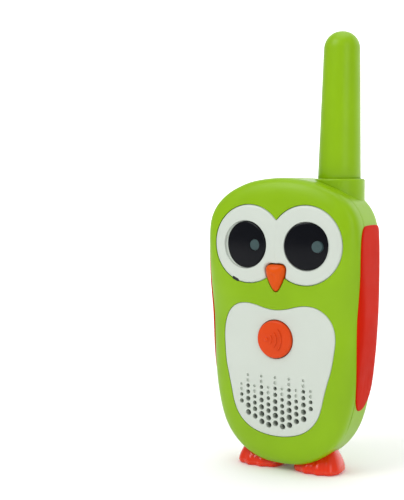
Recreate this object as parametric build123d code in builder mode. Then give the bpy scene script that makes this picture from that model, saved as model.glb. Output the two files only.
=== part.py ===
from build123d import *
import math
import os

os.makedirs("parts", exist_ok=True)

# A child's toy walkie talkie shaped like an owl.  Millimetres, +Z up, front towards -Y.
# The origin is on the floor, under the middle of the bounding box.

# ---------------------------------------------------------------- driving dimensions
WALL = 2.2
MID_Y = -4.0                # widest plane of the body
FRONT_DEPTH = 12.9          # from that plane to the front face
REAR_DEPTH = 17.0           # from that plane to the back
PARTING_Y = -7.6            # the two shells meet here
HALF_WIDTH = 34.7
BODY_BOTTOM = 2.8
BODY_TOP = 121.0
BODY_MID_Z = (BODY_BOTTOM + BODY_TOP) / 2
HALF_HEIGHT = (BODY_TOP - BODY_BOTTOM) / 2
FRONT_Y = MID_Y - FRONT_DEPTH
REAR_Y = MID_Y + REAR_DEPTH

# Right half of the body's outline, from the top to the bottom.
OUTLINE = [
    (0, BODY_TOP), (11.8, 119.9), (20, 117.3), (26.2, 113.8), (30.9, 109.2),
    (33.6, 103.5), (34.5, 95), (34.7, 80), (34.3, 64), (33.2, 48),
    (31.2, 32.5), (27.0, 18.2), (20.3, 9.4), (11, 4.1), (0, BODY_BOTTOM),
]
FRONT_ROUND = 10.5          # radius of the front edge all round
REAR_ROUND = 9.0            # radius of the rear edge all round

EYE_X = 12.75
EYE_Z = 94.05
EYE_R = 16.1
MASK_FLOOR_Y = -12.4
MASK_GAP = 0.15
PUPIL_X = 13.9
PUPIL_Z = 93.75
PUPIL_R = 9.5
PUPIL_FACE_Y = -18.0
PUPIL_TURN = 5.0
LAMP_SHIFT = 4.7
LAMP_R = 2.35

PLATE_OUTLINE = [
    (0, 67.5), (5, 68.1), (9.1, 69.2), (13.4, 69.8), (18, 69.1), (22.1, 66.2),
    (24.5, 61.8), (25.3, 56.7), (24.8, 50.2), (23.9, 44.3), (22.4, 38.7), (21, 33),
    (19.9, 29), (18, 25.6), (14.8, 22.3), (10.8, 18.9), (5.7, 16.6), (0, 15.6),
]
PLATE_FLOOR_Y = -14.0
PLATE_GAP = 0.15
PLATE_LEDGE = 1.8           # ledge that the plate rests on around the speaker opening
INNER_FRONT_Y = -12.4       # inside face of the front wall, lower part
INNER_EYE_Y = -10.6         # inside face of the front wall, behind the eyes

BUTTON_TRAVEL = 0.8
TALK_Z = 55.65
TALK_R = 7.7
TALK_FACE_Y = -19.4
BEAK_TOP_Z = 85.9
BEAK_TIP_Z = 75.1
BEAK_FACE_Y = -20.0
BUTTON_GAP = 0.35

SPEAKER_Z = 29.2
SPEAKER_R = 17.0
SPEAKER_OPENING_R = 15.8
SPEAKER_SCREW_ANGLES = [55, 130, 230, 305]

BOARD_FRONT_Y = -5.0
BOARD_THICK = 1.6
BOARD_BACK_Y = BOARD_FRONT_Y + BOARD_THICK
BOARD_BOTTOM = 50.5
BOARD_TOP = 106.0
BOARD_HALF_WIDTH = 22.0

ANTENNA_X = 18.4
ANTENNA_Y = 2.7
COLLAR_R = 10.4
COLLAR_TOP = 120.6
COLLAR_BORE_R = 9.3
ANTENNA_ROOT_R = 8.7
ANTENNA_END_R = 7.35
ANTENNA_TOP = 180.0
ANTENNA_LEAN = 0.8
ANTENNA_SEAT_Z = 118.2

GRIP_PROUD = 1.0
GRIP_TOP = 102.0
GRIP_BOTTOM = 28.3
GRIP_PEGS = [(50, 34.0), (85, 35.2)]    # height of each peg and where its outer end lies

CELL_R = 5.2
CELL_PITCH = 10.9
CELL_Y = 4.6
CELL_BOTTOM = 20.6
CELL_TOP = 64.2
BAY_HALF_WIDTH = 17.2
BAY_FRONT_Y = -0.9
BAY_WALL = 1.5
BAY_BOTTOM = 15.6
BAY_TOP = 66.0
DOOR_BOTTOM = 14.6
DOOR_TOP = 66.6
DOOR_HALF_WIDTH = 18.5
DOOR_TONGUE_TOP = 73.4
DOOR_TONGUE_HALF = 5.5
DOOR_GAP = 0.3
DOOR_SCREW_Z = 69.6
DOOR_SCREW_HOLE_R = 1.95    # wide enough for the captive screw to swing out with the door

CLIP_AXLE_Y = 16.4
CLIP_AXLE_Z = 104.0
CLIP_AXLE_R = 1.2
CLIP_HALF_WIDTH = 10.8
CLIP_INNER_Y = 17.9
CLIP_OUTER_Y = 20.0
CLIP_BOTTOM = 77.0
CLIP_TOP = 113.0

SCREW_R = 1.25
SCREW_HEAD_R = 2.5
SCREW_HEAD_Y = 3.0
CASE_SCREWS = [(-28.0, 98.0, -12.0), (28.0, 98.0, -12.0), (-23.6, 22.0, -9.0), (23.6, 22.0, -9.0)]
BOARD_SCREWS = [(-19.0, 103.0), (19.0, 103.0), (-19.0, 54.0), (19.0, 54.0)]
FOOT_X = 13.2
FOOT_SCREW_Y = 1.0
FOOT_BOSS_TOP = 10.0
SCREW_PILLAR_R = 3.2
PILOT_R = 1.02              # pilot hole of the small screws
SMALL_SHANK_R = 1.0
PEG_R = 1.2                 # pegs of the mask and of the plate
PEG_HOLE_R = PEG_R + 0.02
MASK_PEG_X, MASK_PEG_Z = 6.5, 96.0
PLATE_PEG_X, PLATE_PEG_Z = 21.0, 60.0
GRIP_PEG_R = 1.5
GRIP_PEG_Y = -2.0
BEAK_SWITCH_Z = 82.0
DOOR_SCREW_SEAT_Y = 11.7
HOOK_X = 5.5                # the door's two hooks


# ---------------------------------------------------------------- helpers
def at_y(y):
    """The upright plane at y: sketch x is +X, sketch y is +Z, extrusion runs to the front."""
    return Plane.XZ.offset(-y)


def finish(piece, name):
    """Label one finished piece and write it."""
    piece.part.label = name
    export_step(piece.part, f"parts/{name}.step")


def body_form(grow=0.0):
    """The whole body's solid form, grown by an offset on every side."""
    scale_x = (HALF_WIDTH + grow) / HALF_WIDTH
    scale_z = (HALF_HEIGHT + grow) / HALF_HEIGHT
    right = [(x * scale_x, BODY_MID_Z + (z - BODY_MID_Z) * scale_z) for x, z in OUTLINE]
    with BuildPart() as form:
        with BuildSketch(at_y(REAR_Y + grow)):
            with BuildLine():
                Spline(right + [(-x, z) for x, z in right[-2:0:-1]], periodic=True)
            make_face()
        extrude(amount=REAR_Y - FRONT_Y + 2 * grow)
        fillet(form.edges().group_by(Axis.Y)[0], FRONT_ROUND + grow)
        fillet(form.edges().group_by(Axis.Y)[-1], REAR_ROUND + grow)
    return form.part


def plate_face(shrink, mode=Mode.ADD):
    """Closed outline of the belly plate, on the active sketch."""
    middle_z = (PLATE_OUTLINE[0][1] + PLATE_OUTLINE[-1][1]) / 2
    scale = 1 - shrink / (PLATE_OUTLINE[0][1] - middle_z)
    right = [(x * scale, middle_z + (z - middle_z) * scale) for x, z in PLATE_OUTLINE]
    with BuildLine() as rim:
        Spline(right + [(-x, z) for x, z in right[-2:0:-1]], periodic=True)
    make_face(rim.edges(), mode=mode)


def eye_face(radius):
    """Two joined circles around the eyes, on the active sketch."""
    with Locations((-EYE_X, EYE_Z), (EYE_X, EYE_Z)):
        Circle(radius)


def beak_face(grow):
    """Outline of the beak, on the active sketch."""
    with BuildLine() as rim:
        Polyline((-2.6, BEAK_TOP_Z), (2.6, BEAK_TOP_Z), (4.3, 84.2), (3.15, 80.8), (1.35, 76.7),
                 (0, BEAK_TIP_Z), (-1.35, 76.7), (-3.15, 80.8), (-4.3, 84.2), (-2.6, BEAK_TOP_Z))
    make_face(rim.edges())
    if grow:
        offset(amount=grow, mode=Mode.REPLACE)


def door_face(grow):
    """Outline of the battery door with its screw tongue, on the active sketch."""
    with Locations((0, (DOOR_BOTTOM + DOOR_TOP) / 2)):
        RectangleRounded(2 * (DOOR_HALF_WIDTH + grow), DOOR_TOP - DOOR_BOTTOM + 2 * grow, 1.7 + grow)
    with Locations((0, (DOOR_TOP - 3 + DOOR_TONGUE_TOP) / 2)):
        RectangleRounded(2 * (DOOR_TONGUE_HALF + grow), DOOR_TONGUE_TOP - DOOR_TOP + 3 + 2 * grow, 1.7 + grow)


def cylinder_along_y(x, z, y_from, y_to, radius, mode=Mode.ADD):
    """Add or cut a round bar that runs along Y."""
    with BuildSketch(at_y(y_to)) as disc:
        with Locations((x, z)):
            Circle(radius)
    extrude(disc.sketch, amount=y_to - y_from, mode=mode)


def box_between(low, high, mode=Mode.ADD):
    """Add or cut a box given by its two corners."""
    size = [b - a for a, b in zip(low, high)]
    centre = [(a + b) / 2 for a, b in zip(low, high)]
    with Locations(tuple(centre)):
        Box(*size, mode=mode)


def eye_plane(side):
    """Plane of a pupil's face: it looks forward and a little outward."""
    turn = math.radians(PUPIL_TURN) * side
    return Plane(
        origin=(side * PUPIL_X, PUPIL_FACE_Y, PUPIL_Z),
        x_dir=(math.cos(turn), math.sin(turn), 0),
        z_dir=(math.sin(turn), -math.cos(turn), 0),
    )


OUTER_FORM = body_form()
INNER_FORM = body_form(-WALL)
DOOR_INNER_FORM = body_form(-WALL + 0.1)
DOOR_POCKET_FORM = body_form(-WALL - 0.1)
GRIP_FORM = body_form(GRIP_PROUD)
SKIN_FORM = body_form(0.03)         # a hair outside the shells, for what is glued on them

with BuildPart() as front_cavity:
    add(INNER_FORM)
    split(bisect_by=at_y(INNER_FRONT_Y), keep=Keep.BOTTOM)

# Speaker holes: columns of round holes that grow downward; the top two of a column are dimples.
HOLE_PITCH_X = 3.165
TALL_ROWS = [39.9, 37.7, 35.4, 32.8, 30.0, 27.1, 24.2, 21.0]
ODD_ROWS = [35.6, 33.4, 31.1, 28.5, 25.9, 22.9, 20.0]
EDGE_ROWS = [35.8, 33.7, 31.4, 28.7]
HOLE_COLUMNS = [
    (0, TALL_ROWS), (1, ODD_ROWS), (2, TALL_ROWS), (3, ODD_ROWS[:6]), (4, TALL_ROWS[:7]), (5, EDGE_ROWS),
]


def hole_radius(row):
    """Radius of a speaker hole by its row from the top of its column."""
    return min(0.62 + 0.11 * row, 1.25)


def speaker_holes(first_row, last_row):
    """List of (x, z, radius) of the holes in the given rows of every column."""
    holes = []
    for column, rows in HOLE_COLUMNS:
        for row, z in enumerate(rows):
            if first_row <= row < last_row:
                for x in {column * HOLE_PITCH_X, -column * HOLE_PITCH_X}:
                    holes.append((x, z, hole_radius(row)))
    return holes


# ---------------------------------------------------------------- shells
MIC_X = -18.7
MIC_Z = 79.4
MIC_TILT = -20

with BuildPart() as front_shell:
    add(OUTER_FORM)
    split(bisect_by=at_y(PARTING_Y), keep=Keep.TOP)
    add(front_cavity.part, mode=Mode.SUBTRACT)
    # thicker wall behind the eyes and the beak
    with BuildSketch(at_y(INNER_EYE_Y)):
        eye_face(EYE_R + 1.6)
        with Locations((0, 79)):
            Rectangle(16, 18)
    extrude(amount=INNER_EYE_Y - INNER_FRONT_Y)
    # screw pillars, board posts and speaker posts
    for x, z, tip_y in CASE_SCREWS:
        cylinder_along_y(x, z, tip_y - 1.5, PARTING_Y, SCREW_PILLAR_R)
    for x, z in BOARD_SCREWS:
        cylinder_along_y(x, z, INNER_FRONT_Y - 0.5, BOARD_FRONT_Y, 2.4)
    for angle in SPEAKER_SCREW_ANGLES:
        post_x = (SPEAKER_R + 2.4) * math.sin(math.radians(angle))
        post_z = SPEAKER_Z + (SPEAKER_R + 2.4) * math.cos(math.radians(angle))
        cylinder_along_y(post_x, post_z, INNER_FRONT_Y - 0.5, INNER_FRONT_Y + 1.5, 2.0)
    # recesses for the white eye mask and the white belly plate
    with BuildSketch(at_y(MASK_FLOOR_Y)):
        eye_face(EYE_R + MASK_GAP)
    extrude(amount=10, mode=Mode.SUBTRACT)
    with BuildSketch(at_y(PLATE_FLOOR_Y)):
        plate_face(0)
    extrude(amount=10, mode=Mode.SUBTRACT)
    # openings for the sound, the two buttons, the lamps, the microphone and the pegs
    with BuildSketch(at_y(INNER_FRONT_Y + 1)):
        with Locations((0, SPEAKER_Z)):
            Circle(SPEAKER_OPENING_R)
        plate_face(PLATE_LEDGE, mode=Mode.INTERSECT)
    extrude(amount=5, mode=Mode.SUBTRACT)
    cylinder_along_y(0, TALK_Z, -16, INNER_FRONT_Y + 1, TALK_R + BUTTON_GAP, mode=Mode.SUBTRACT)
    with BuildSketch(at_y(INNER_EYE_Y + 1)):
        beak_face(BUTTON_GAP)
    extrude(amount=12, mode=Mode.SUBTRACT)
    for side in (-1, 1):
        lamp_x = side * PUPIL_X + LAMP_SHIFT
        cylinder_along_y(lamp_x, PUPIL_Z, -16, INNER_EYE_Y + 1, LAMP_R + 0.75, mode=Mode.SUBTRACT)
        cylinder_along_y(side * MASK_PEG_X, MASK_PEG_Z, -16, INNER_EYE_Y + 1, PEG_HOLE_R, mode=Mode.SUBTRACT)
        cylinder_along_y(side * PLATE_PEG_X, PLATE_PEG_Z, -16, INNER_FRONT_Y + 1, PEG_HOLE_R, mode=Mode.SUBTRACT)
    with BuildSketch(at_y(INNER_FRONT_Y + 3)):
        with Locations((MIC_X, MIC_Z)):
            SlotOverall(3.4, 1.3, rotation=MIC_TILT)
    extrude(amount=12, mode=Mode.SUBTRACT)
    cylinder_along_y(MIC_X, MIC_Z, -12.2, INNER_EYE_Y + 1, 4.1, mode=Mode.SUBTRACT)
    # pilot holes
    for x, z, tip_y in CASE_SCREWS:
        cylinder_along_y(x, z, tip_y, PARTING_Y, SCREW_R + 0.02, mode=Mode.SUBTRACT)
    for x, z in BOARD_SCREWS:
        cylinder_along_y(x, z, -10.4, BOARD_FRONT_Y, PILOT_R, mode=Mode.SUBTRACT)
    for angle in SPEAKER_SCREW_ANGLES:
        post_x = (SPEAKER_R + 2.4) * math.sin(math.radians(angle))
        post_z = SPEAKER_Z + (SPEAKER_R + 2.4) * math.cos(math.radians(angle))
        cylinder_along_y(post_x, post_z, INNER_FRONT_Y - 0.4, INNER_FRONT_Y + 1.5, PILOT_R, mode=Mode.SUBTRACT)
finish(front_shell, "front_shell")

COLLAR_FOOT = 106.0

with BuildPart() as collar:
    with BuildSketch(Plane.XY.offset(COLLAR_FOOT)):
        with Locations((ANTENNA_X, ANTENNA_Y)):
            Circle(COLLAR_R)
    extrude(amount=COLLAR_TOP - COLLAR_FOOT)
    fillet(collar.edges().group_by(Axis.Z)[-1], 0.9)

with BuildPart() as foot_bosses:
    with BuildSketch(Plane.XY):
        with Locations((-FOOT_X, FOOT_SCREW_Y), (FOOT_X, FOOT_SCREW_Y)):
            Circle(3.6)
    extrude(amount=FOOT_BOSS_TOP)
    add(OUTER_FORM, mode=Mode.INTERSECT)

with BuildPart() as door_pocket:
    with BuildSketch(at_y(16)):
        door_face(DOOR_GAP)
    extrude(amount=10)
    add(DOOR_POCKET_FORM, mode=Mode.SUBTRACT)

with BuildPart() as rear_shell:
    add(OUTER_FORM)
    split(bisect_by=at_y(PARTING_Y), keep=Keep.BOTTOM)
    add(INNER_FORM, mode=Mode.SUBTRACT)
    # tube that carries the antenna's foot
    add(collar.part)
    with BuildSketch(Plane.XY.offset(COLLAR_FOOT - 1)):
        with Locations((ANTENNA_X, ANTENNA_Y)):
            Circle(COLLAR_BORE_R)
    extrude(amount=ANTENNA_SEAT_Z - COLLAR_FOOT + 1, mode=Mode.SUBTRACT)
    with BuildSketch(Plane.XY.offset(ANTENNA_SEAT_Z - 1)):
        with Locations((ANTENNA_X, ANTENNA_Y)):
            Circle(ANTENNA_ROOT_R + 0.1)
    extrude(amount=6, mode=Mode.SUBTRACT)
    # battery bay
    box_between((-BAY_HALF_WIDTH - BAY_WALL, BAY_FRONT_Y - BAY_WALL, BAY_BOTTOM - BAY_WALL),
                (BAY_HALF_WIDTH + BAY_WALL, 11.0, BAY_TOP + BAY_WALL))
    # screw pillars
    for x, z, tip_y in CASE_SCREWS:
        cylinder_along_y(x, z, PARTING_Y, 9.5, SCREW_PILLAR_R)
    cylinder_along_y(0, DOOR_SCREW_Z, 2.6, 12.0, 3.4)
    add(foot_bosses.part)
    # door opening, with the bay and the door's tongue
    add(door_pocket.part, mode=Mode.SUBTRACT)
    box_between((-BAY_HALF_WIDTH, BAY_FRONT_Y, BAY_BOTTOM), (BAY_HALF_WIDTH, 14, BAY_TOP), mode=Mode.SUBTRACT)
    # slots for the door's two hooks
    for side in (-1, 1):
        box_between((side * HOOK_X - 2.3, 5.0, BAY_BOTTOM - BAY_WALL - 0.2),
                    (side * HOOK_X + 2.3, 11.2, BAY_BOTTOM + 0.1), mode=Mode.SUBTRACT)
    # screw holes
    for x, z, tip_y in CASE_SCREWS:
        cylinder_along_y(x, z, PARTING_Y - 1, 14, SCREW_R + 0.25, mode=Mode.SUBTRACT)
        cylinder_along_y(x, z, SCREW_HEAD_Y, 14, SCREW_HEAD_R + 0.3, mode=Mode.SUBTRACT)
    cylinder_along_y(0, DOOR_SCREW_Z, 0, 14, DOOR_SCREW_HOLE_R, mode=Mode.SUBTRACT)
    for side in (-1, 1):
        with BuildSketch(Plane.XY.offset(0)):
            with Locations((side * FOOT_X, FOOT_SCREW_Y)):
                Circle(2.25)
        extrude(amount=FOOT_BOSS_TOP + 1, mode=Mode.SUBTRACT)
        with BuildSketch(Plane.XY.offset(FOOT_BOSS_TOP)):
            with Locations((side * FOOT_X, FOOT_SCREW_Y)):
                Circle(3.4)
        extrude(amount=3, mode=Mode.SUBTRACT)
        # grip peg holes
        for z, _ in GRIP_PEGS:
            with BuildSketch(Plane.YZ.offset(side * 26)):
                with Locations((GRIP_PEG_Y, z)):
                    Circle(GRIP_PEG_R + 0.02)
            extrude(amount=side * 12, mode=Mode.SUBTRACT)
    # ears for the belt clip
    for side in (-1, 1):
        with BuildSketch(Plane.YZ.offset(side * 11.2)):
            with BuildLine():
                Polyline((11.0, 98.0), (CLIP_AXLE_Y + 0.5, 101.2), (CLIP_AXLE_Y + 2.4, CLIP_AXLE_Z - 1),
                         (CLIP_AXLE_Y + 2.4, CLIP_AXLE_Z + 1), (CLIP_AXLE_Y + 0.5, 106.8), (11.0, 108.0),
                         (11.0, 98.0))
            make_face()
        extrude(amount=side * 2.2)
    with BuildSketch(Plane.YZ.offset(-14)):
        with Locations((CLIP_AXLE_Y, CLIP_AXLE_Z)):
            Circle(CLIP_AXLE_R + 0.01)
    extrude(amount=28, mode=Mode.SUBTRACT)
finish(rear_shell, "rear_shell")

# ---------------------------------------------------------------- antenna
LEAN_PLANE = Plane(
    origin=(ANTENNA_X, ANTENNA_Y, ANTENNA_SEAT_Z),
    x_dir=(math.cos(math.radians(ANTENNA_LEAN)), 0, -math.sin(math.radians(ANTENNA_LEAN))),
    z_dir=(math.sin(math.radians(ANTENNA_LEAN)), 0, math.cos(math.radians(ANTENNA_LEAN))),
)
ANTENNA_LENGTH = ANTENNA_TOP - ANTENNA_SEAT_Z + 0.05
ANTENNA_CAP_Z = ANTENNA_LENGTH - ANTENNA_END_R

FLANGE_R = COLLAR_BORE_R - 0.2
FLANGE_TOP = -0.14          # the tilted flange clears the lip it sits under
FLANGE_BOTTOM = -3.1
ANTENNA_WALL = 2.4

with BuildPart() as antenna:
    with BuildSketch(Plane(LEAN_PLANE.origin, LEAN_PLANE.x_dir, LEAN_PLANE.x_dir.cross(LEAN_PLANE.z_dir))):
        with BuildLine():
            Line((0, ANTENNA_LENGTH), (0, ANTENNA_LENGTH - ANTENNA_WALL))
            Polyline((0, ANTENNA_LENGTH - ANTENNA_WALL), (ANTENNA_END_R - ANTENNA_WALL, ANTENNA_CAP_Z),
                     (6.2, FLANGE_BOTTOM), (FLANGE_R, FLANGE_BOTTOM), (FLANGE_R, FLANGE_TOP),
                     (ANTENNA_ROOT_R, FLANGE_TOP), (ANTENNA_END_R, ANTENNA_CAP_Z))
            RadiusArc((ANTENNA_END_R, ANTENNA_CAP_Z), (0, ANTENNA_LENGTH), -ANTENNA_END_R)
        make_face()
    revolve(axis=Axis(LEAN_PLANE.origin, LEAN_PLANE.z_dir))
finish(antenna, "antenna")

with BuildPart() as antenna_retainer:
    with BuildSketch(Plane.XY.offset(COLLAR_FOOT + 4)):
        with Locations((ANTENNA_X, ANTENNA_Y)):
            Circle(COLLAR_BORE_R - 0.02)
            Circle(3.0, mode=Mode.SUBTRACT)
    extrude(amount=ANTENNA_SEAT_Z - 3.25 - COLLAR_FOOT - 4)
finish(antenna_retainer, "antenna_retainer")

with BuildPart() as antenna_rod:
    with BuildSketch(Plane.XY.offset(COLLAR_FOOT + 1)):
        with Locations((ANTENNA_X, ANTENNA_Y)):
            Circle(2.98)
    extrude(amount=8)
    with BuildSketch(Plane.XY.offset(COLLAR_FOOT + 9)):
        with Locations((ANTENNA_X, ANTENNA_Y)):
            Circle(1.5)
    extrude(amount=56)
    with BuildSketch(Plane.XY.offset(COLLAR_FOOT + 12)):
        with Locations((ANTENNA_X, ANTENNA_Y)):
            Circle(3.2)
            Circle(1.0, mode=Mode.SUBTRACT)
    extrude(amount=1.2)
    for turn in range(12):
        with BuildSketch(Plane.XY.offset(COLLAR_FOOT + 16 + 3.6 * turn)):
            with Locations((ANTENNA_X, ANTENNA_Y)):
                Circle(3.0)
                Circle(1.0, mode=Mode.SUBTRACT)
        extrude(amount=1.6)
finish(antenna_rod, "antenna_rod")

# ---------------------------------------------------------------- face pieces
with BuildPart() as eye_mask:
    with BuildSketch(at_y(MASK_FLOOR_Y)):
        eye_face(EYE_R)
    extrude(amount=10)
    add(OUTER_FORM, mode=Mode.INTERSECT)
    # hollow back
    with BuildSketch(at_y(MASK_FLOOR_Y)):
        with Locations((-EYE_X, EYE_Z), (EYE_X, EYE_Z)):
            Circle(10.6)
    extrude(amount=1.6, mode=Mode.SUBTRACT)
    # two pegs into the shell
    for side in (-1, 1):
        cylinder_along_y(side * MASK_PEG_X, MASK_PEG_Z, MASK_FLOOR_Y - 3.0, INNER_EYE_Y, PEG_R)
    # seats for the pupils, the beak and the microphone slot
    for side in (-1, 1):
        with BuildSketch(eye_plane(side).offset(3)):
            Circle(PUPIL_R + 0.12)
        extrude(amount=-5.0, mode=Mode.SUBTRACT)
        with BuildSketch(eye_plane(side).offset(3)):
            Circle(7.6)
        extrude(amount=-12, mode=Mode.SUBTRACT)
    with BuildSketch(at_y(INNER_EYE_Y + 1)):
        beak_face(BUTTON_GAP)
    extrude(amount=12, mode=Mode.SUBTRACT)
    with BuildSketch(at_y(-11)):
        with Locations((MIC_X, MIC_Z)):
            SlotOverall(3.4, 1.3, rotation=MIC_TILT)
    extrude(amount=8, mode=Mode.SUBTRACT)
finish(eye_mask, "eye_mask")


def make_pupil(side):
    """A glossy black disc with a domed face and a spigot behind it."""
    with BuildPart() as pupil:
        with BuildSketch(eye_plane(side).offset(-2.0)):
            Circle(PUPIL_R)
        extrude(amount=2.0)
        fillet(pupil.edges().group_by(Axis((0, 0, 0), eye_plane(side).z_dir))[-1], 0.7)
        with BuildSketch(eye_plane(side).offset(-4.0)):
            Circle(7.5)
        extrude(amount=2.2)
        cylinder_along_y(side * PUPIL_X + LAMP_SHIFT, PUPIL_Z, -22, -10, LAMP_R + 0.06, mode=Mode.SUBTRACT)
    return pupil


def make_lamp(side):
    """A small round lamp with its rim and two legs."""
    lamp_x = side * PUPIL_X + LAMP_SHIFT
    with BuildPart() as lamp:
        cylinder_along_y(lamp_x, PUPIL_Z, -17.6, -10.6, LAMP_R)
        with Locations((lamp_x, -17.6, PUPIL_Z)):
            Sphere(LAMP_R)
        with BuildSketch(at_y(-18.3)):
            with Locations((lamp_x, PUPIL_Z)):
                Circle(4)
        extrude(amount=4, mode=Mode.SUBTRACT)
        cylinder_along_y(lamp_x, PUPIL_Z, -10.6, -9.6, LAMP_R + 0.5)
        for leg in (-1.27, 1.27):
            cylinder_along_y(lamp_x + leg, PUPIL_Z, -10.0, BOARD_BACK_Y + 0.6, 0.25)
    return lamp


for side, word in ((-1, "left"), (1, "right")):
    finish(make_pupil(side), f"{word}_pupil")
    finish(make_lamp(side), f"{word}_eye_lamp")

with BuildPart() as belly_plate:
    with BuildSketch(at_y(PLATE_FLOOR_Y)):
        plate_face(PLATE_GAP)
    extrude(amount=8)
    add(OUTER_FORM, mode=Mode.INTERSECT)
    # hollow back around the speaker and the talk button
    cylinder_along_y(0, SPEAKER_Z, -15.4, PLATE_FLOOR_Y, 13.0, mode=Mode.SUBTRACT)
    for side in (-1, 1):
        cylinder_along_y(side * PLATE_PEG_X, PLATE_PEG_Z, -14.5, INNER_FRONT_Y, PEG_R)
    cylinder_along_y(0, TALK_Z, -20, PLATE_FLOOR_Y + 1, TALK_R + BUTTON_GAP, mode=Mode.SUBTRACT)
    for x, z, radius in speaker_holes(2, 9):
        cylinder_along_y(x, z, -20, PLATE_FLOOR_Y + 1, radius, mode=Mode.SUBTRACT)
finish(belly_plate, "belly_plate")

BUTTON_FLANGE_Y = INNER_FRONT_Y + 0.3
BEAK_FLANGE_Y = INNER_EYE_Y + 0.3
PLUNGER_TIP_Y = -9.1
SWITCH_FACE_Y = -7.9

with BuildPart() as talk_button:
    cylinder_along_y(0, TALK_Z, TALK_FACE_Y, BUTTON_FLANGE_Y + 0.5, TALK_R)
    fillet(talk_button.edges().group_by(Axis.Y)[0], 0.9)
    cylinder_along_y(0, TALK_Z, BUTTON_FLANGE_Y, BUTTON_FLANGE_Y + 1.0, TALK_R + 1.1)
    cylinder_along_y(0, TALK_Z, TALK_FACE_Y + 2.0, BUTTON_FLANGE_Y + 2.0, TALK_R - 1.8, mode=Mode.SUBTRACT)
    cylinder_along_y(0, TALK_Z, TALK_FACE_Y + 1.5, PLUNGER_TIP_Y, 2.2)
finish(talk_button, "talk_button")

with BuildPart() as beak_button:
    with BuildSketch(at_y(BEAK_FLANGE_Y + 0.5)):
        beak_face(0)
    extrude(amount=BEAK_FLANGE_Y + 0.5 + 18.6)
    with BuildSketch(at_y(-18.6)):
        beak_face(0)
    extrude(amount=-18.6 - BEAK_FACE_Y, taper=38)
    with BuildSketch(at_y(BEAK_FLANGE_Y + 1.0)):
        beak_face(1.3)
    extrude(amount=1.0)
    cylinder_along_y(0, BEAK_SWITCH_Z, BEAK_FLANGE_Y, PLUNGER_TIP_Y, 1.6)
finish(beak_button, "beak_button")


def make_switch(z):
    """Square push switch on the front of the board, with a guide hole for its plunger."""
    with BuildPart() as switch:
        box_between((-3, SWITCH_FACE_Y, z - 3), (3, BOARD_FRONT_Y, z + 3))
        cylinder_along_y(0, z, SWITCH_FACE_Y, BOARD_FRONT_Y - 0.6, 1.55, mode=Mode.SUBTRACT)
    return switch


def make_plunger(z):
    """Round plunger inside a push switch."""
    with BuildPart() as plunger:
        cylinder_along_y(0, z, PLUNGER_TIP_Y, SWITCH_FACE_Y + 1.2, 1.5)
    return plunger


finish(make_switch(TALK_Z), "talk_switch")
finish(make_plunger(TALK_Z), "talk_switch_plunger")
finish(make_switch(BEAK_SWITCH_Z), "beak_switch")
finish(make_plunger(BEAK_SWITCH_Z), "beak_switch_plunger")

# ---------------------------------------------------------------- grips and feet
GRIP_OUTLINE = [
    (-9.0, GRIP_TOP), (5.0, GRIP_TOP), (7.0, 99.8), (7.0, 60), (6.4, 44), (4.2, 34.5), (0.0, GRIP_BOTTOM + 1),
    (-3.6, GRIP_BOTTOM), (-7.0, 31.2), (-9.6, 38), (-10.8, 50), (-11.0, 80), (-10.8, 99.8), (-9.0, GRIP_TOP),
]


def make_grip(side):
    """Thin side grip, proud of both shells, with two pegs into the rear shell."""
    with BuildPart() as grip:
        with BuildSketch(Plane.YZ.offset(side * 18)):
            with BuildLine():
                Polyline(GRIP_OUTLINE)
            make_face()
        extrude(amount=side * 20)
        add(GRIP_FORM, mode=Mode.INTERSECT)
        add(SKIN_FORM, mode=Mode.SUBTRACT)
        for z, reach in GRIP_PEGS:
            with BuildSketch(Plane.YZ.offset(side * 31.5)):
                with Locations((GRIP_PEG_Y, z)):
                    Circle(GRIP_PEG_R)
            extrude(amount=side * (reach - 31.5))
    return grip


def make_foot(side):
    """Glossy foot that hugs the body's underside, with four toes in front."""
    with BuildPart() as foot:
        with BuildSketch(Plane.XY):
            with Locations((side * FOOT_X, -1.0)):
                RectangleRounded(17.6, 22.0, 6.5)
        extrude(amount=10.8, taper=2)
        fillet(foot.edges().group_by(Axis.Z)[0], 1.2)
        for toe in range(4):
            with Locations((side * (6.6 + 4.3 * toe), -11.0 + 0.5 * abs(toe - 1.5), 3.4)):
                Sphere(3.1)
        add(SKIN_FORM, mode=Mode.SUBTRACT)
        with BuildSketch(Plane.XY.offset(2.0)):
            with Locations((side * FOOT_X, FOOT_SCREW_Y)):
                Circle(2.2)
        extrude(amount=FOOT_BOSS_TOP - 2.0)
        with BuildSketch(Plane.XY.offset(2.6)):
            with Locations((side * FOOT_X, FOOT_SCREW_Y)):
                Circle(PILOT_R)
        extrude(amount=FOOT_BOSS_TOP, mode=Mode.SUBTRACT)
    return foot


for side, word in ((-1, "left"), (1, "right")):
    finish(make_grip(side), f"{word}_grip")
    finish(make_foot(side), f"{word}_foot")


def screw_along(plane, x, y, head_r, head_h, shank_r, shank):
    """Pan head screw whose head stands on the plane and whose shank runs below it."""
    with BuildSketch(plane) as head:
        with Locations((x, y)):
            Circle(head_r)
    extrude(head.sketch, amount=head_h)
    with BuildSketch(plane.offset(head_h)) as cross:
        with Locations((x, y)):
            Rectangle(head_r * 1.3, 0.6)
            Rectangle(0.6, head_r * 1.3)
    extrude(cross.sketch, amount=-head_h * 0.5, mode=Mode.SUBTRACT)
    with BuildSketch(plane) as body:
        with Locations((x, y)):
            Circle(shank_r)
    extrude(body.sketch, amount=-shank)


with BuildPart() as foot_screws:
    for side in (-1, 1):
        screw_along(Plane.XY.offset(FOOT_BOSS_TOP), side * FOOT_X, FOOT_SCREW_Y, 3.0, 1.2, SMALL_SHANK_R, 7.0)
finish(foot_screws, "foot_screws")

REAR_FACING = Plane(origin=(0, SCREW_HEAD_Y, 0), x_dir=(-1, 0, 0), z_dir=(0, 1, 0))

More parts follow.
